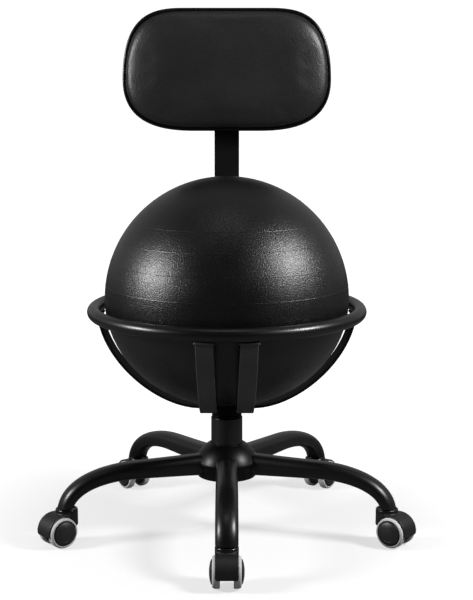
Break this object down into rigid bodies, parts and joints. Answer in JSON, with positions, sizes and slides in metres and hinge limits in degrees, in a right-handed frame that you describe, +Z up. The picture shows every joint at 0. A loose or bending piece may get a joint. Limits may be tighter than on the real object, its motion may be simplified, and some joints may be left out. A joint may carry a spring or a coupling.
{
  "type": "balance ball chair",
  "caption": "Inflated ball seated in a swivelling ring-and-strap cradle on a caster base, with a height-adjustable padded backrest on a flat bar.",
  "frame": {"origin": "on the floor, in the middle of the chair's footprint box", "axes": "+Z up, the sitter faces -Y, the backrest stands at +Y, +X is to the right in the picture"},
  "size_m": [0.707, 0.6764, 0.991],
  "materials": {
    "powder_coat": "black powder coat, semi-gloss",
    "satin_steel": "black satin paint on steel tube",
    "zinc_steel": "bright zinc-plated steel",
    "black_nylon": "moulded nylon, fine grain",
    "grey_tyre": "soft grey polyurethane tread",
    "ball_skin": "matt black PVC with a fine pebble grain and ridge lines",
    "leatherette": "black leatherette, satin"
  },
  "bodies": {
    "base": {"base_hub": "powder_coat", "hub_underside_cover": "black_nylon", "front_arm": "powder_coat", "front_caster_stem": "zinc_steel", "right_front_arm": "powder_coat", "right_front_caster_stem": "zinc_steel", "right_rear_arm": "powder_coat", "right_rear_caster_stem": "zinc_steel", "left_rear_arm": "powder_coat", "left_rear_caster_stem": "zinc_steel", "left_front_arm": "powder_coat", "left_front_caster_stem": "zinc_steel", "column_sleeve": "satin_steel", "thrust_bearing": "zinc_steel", "lower_bush": "black_nylon"},
    "seat": {"swivel_spindle": "powder_coat", "retaining_clip": "zinc_steel", "cradle_plate": "powder_coat", "support_ring": "powder_coat", "front_strap_left": "powder_coat", "front_strap_right": "powder_coat", "side_strap_left": "powder_coat", "side_strap_right": "powder_coat", "rear_support": "powder_coat"},
    "front_caster": {"front_caster_hood": "black_nylon", "front_caster_axle": "zinc_steel"},
    "front_left_roller": {"front_left_wheel": "black_nylon", "front_left_tyre": "grey_tyre"},
    "front_right_roller": {"front_right_wheel": "black_nylon", "front_right_tyre": "grey_tyre"},
    "right_front_caster": {"right_front_caster_hood": "black_nylon", "right_front_caster_axle": "zinc_steel"},
    "right_front_left_roller": {"right_front_left_wheel": "black_nylon", "right_front_left_tyre": "grey_tyre"},
    "right_front_right_roller": {"right_front_right_wheel": "black_nylon", "right_front_right_tyre": "grey_tyre"},
    "right_rear_caster": {"right_rear_caster_hood": "black_nylon", "right_rear_caster_axle": "zinc_steel"},
    "right_rear_left_roller": {"right_rear_left_wheel": "black_nylon", "right_rear_left_tyre": "grey_tyre"},
    "right_rear_right_roller": {"right_rear_right_wheel": "black_nylon", "right_rear_right_tyre": "grey_tyre"},
    "left_rear_caster": {"left_rear_caster_hood": "black_nylon", "left_rear_caster_axle": "zinc_steel"},
    "left_rear_left_roller": {"left_rear_left_wheel": "black_nylon", "left_rear_left_tyre": "grey_tyre"},
    "left_rear_right_roller": {"left_rear_right_wheel": "black_nylon", "left_rear_right_tyre": "grey_tyre"},
    "left_front_caster": {"left_front_caster_hood": "black_nylon", "left_front_caster_axle": "zinc_steel"},
    "left_front_left_roller": {"left_front_left_wheel": "black_nylon", "left_front_left_tyre": "grey_tyre"},
    "left_front_right_roller": {"left_front_right_wheel": "black_nylon", "left_front_right_tyre": "grey_tyre"},
    "ball": {"exercise_ball": "ball_skin", "ball_plug": "black_nylon"},
    "backrest": {"upright_bar": "powder_coat", "backrest_shell": "black_nylon", "backrest_cushion": "leatherette"},
    "clamp_knob": {"height_clamp_knob": "black_nylon"}
  },
  "joints": [
    {"name": "seat_swivel", "type": "hinge", "parent": "base", "child": "seat", "pos_m": [0, 0.02905, 0.2], "axis": [0, 0, 1], "continuous": true},
    {"name": "front_caster_swivel", "type": "hinge", "parent": "base", "child": "front_caster", "pos_m": [0, -0.28595, 0.06], "axis": [0, 0, 1], "continuous": true},
    {"name": "front_left_wheel_spin", "type": "hinge", "parent": "front_caster", "child": "front_left_roller", "pos_m": [0, -0.30595, 0.029], "axis": [1, 0, 0], "continuous": true},
    {"name": "front_right_wheel_spin", "type": "hinge", "parent": "front_caster", "child": "front_right_roller", "pos_m": [0, -0.30595, 0.029], "axis": [1, 0, 0], "continuous": true},
    {"name": "right_front_caster_swivel", "type": "hinge", "parent": "base", "child": "right_front_caster", "pos_m": [0.29958, -0.06829, 0.06], "axis": [0, 0, 1], "continuous": true},
    {"name": "right_front_left_wheel_spin", "type": "hinge", "parent": "right_front_caster", "child": "right_front_left_roller", "pos_m": [0.31545, -0.08047, 0.029], "axis": [0.6088, 0.7934, 0], "continuous": true},
    {"name": "right_front_right_wheel_spin", "type": "hinge", "parent": "right_front_caster", "child": "right_front_right_roller", "pos_m": [0.31545, -0.08047, 0.029], "axis": [0.6088, 0.7934, 0], "continuous": true},
    {"name": "right_rear_caster_swivel", "type": "hinge", "parent": "base", "child": "right_rear_caster", "pos_m": [0.18515, 0.28389, 0.06], "axis": [0, 0, 1], "continuous": true},
    {"name": "right_rear_left_wheel_spin", "type": "hinge", "parent": "right_rear_caster", "child": "right_rear_left_roller", "pos_m": [0.19691, 0.30007, 0.029], "axis": [-0.809, 0.5878, 0], "continuous": true},
    {"name": "right_rear_right_wheel_spin", "type": "hinge", "parent": "right_rear_caster", "child": "right_rear_right_roller", "pos_m": [0.19691, 0.30007, 0.029], "axis": [-0.809, 0.5878, 0], "continuous": true},
    {"name": "left_rear_caster_swivel", "type": "hinge", "parent": "base", "child": "left_rear_caster", "pos_m": [-0.18515, 0.28389, 0.06], "axis": [0, 0, 1], "continuous": true},
    {"name": "left_rear_left_wheel_spin", "type": "hinge", "parent": "left_rear_caster", "child": "left_rear_left_roller", "pos_m": [-0.19691, 0.30007, 0.029], "axis": [-0.809, -0.5878, 0], "continuous": true},
    {"name": "left_rear_right_wheel_spin", "type": "hinge", "parent": "left_rear_caster", "child": "left_rear_right_roller", "pos_m": [-0.19691, 0.30007, 0.029], "axis": [-0.809, -0.5878, 0], "continuous": true},
    {"name": "left_front_caster_swivel", "type": "hinge", "parent": "base", "child": "left_front_caster", "pos_m": [-0.29958, -0.06829, 0.06], "axis": [0, 0, 1], "continuous": true},
    {"name": "left_front_left_wheel_spin", "type": "hinge", "parent": "left_front_caster", "child": "left_front_left_roller", "pos_m": [-0.31545, -0.08047, 0.029], "axis": [0.6088, -0.7934, 0], "continuous": true},
    {"name": "left_front_right_wheel_spin", "type": "hinge", "parent": "left_front_caster", "child": "left_front_right_roller", "pos_m": [-0.31545, -0.08047, 0.029], "axis": [0.6088, -0.7934, 0], "continuous": true},
    {"name": "ball_lift_out", "type": "slide", "parent": "seat", "child": "ball", "axis": [0, -0.3746, 0.9272], "range_m": [0, 0.25]},
    {"name": "backrest_height", "type": "slide", "parent": "seat", "child": "backrest", "axis": [0, 0, 1], "range_m": [-0.02, 0.06]},
    {"name": "clamp_knob_turn", "type": "hinge", "parent": "seat", "child": "clamp_knob", "pos_m": [0, 0.31905, 0.477], "axis": [0, 1, 0], "range_deg": [0, 360]}
  ]
}
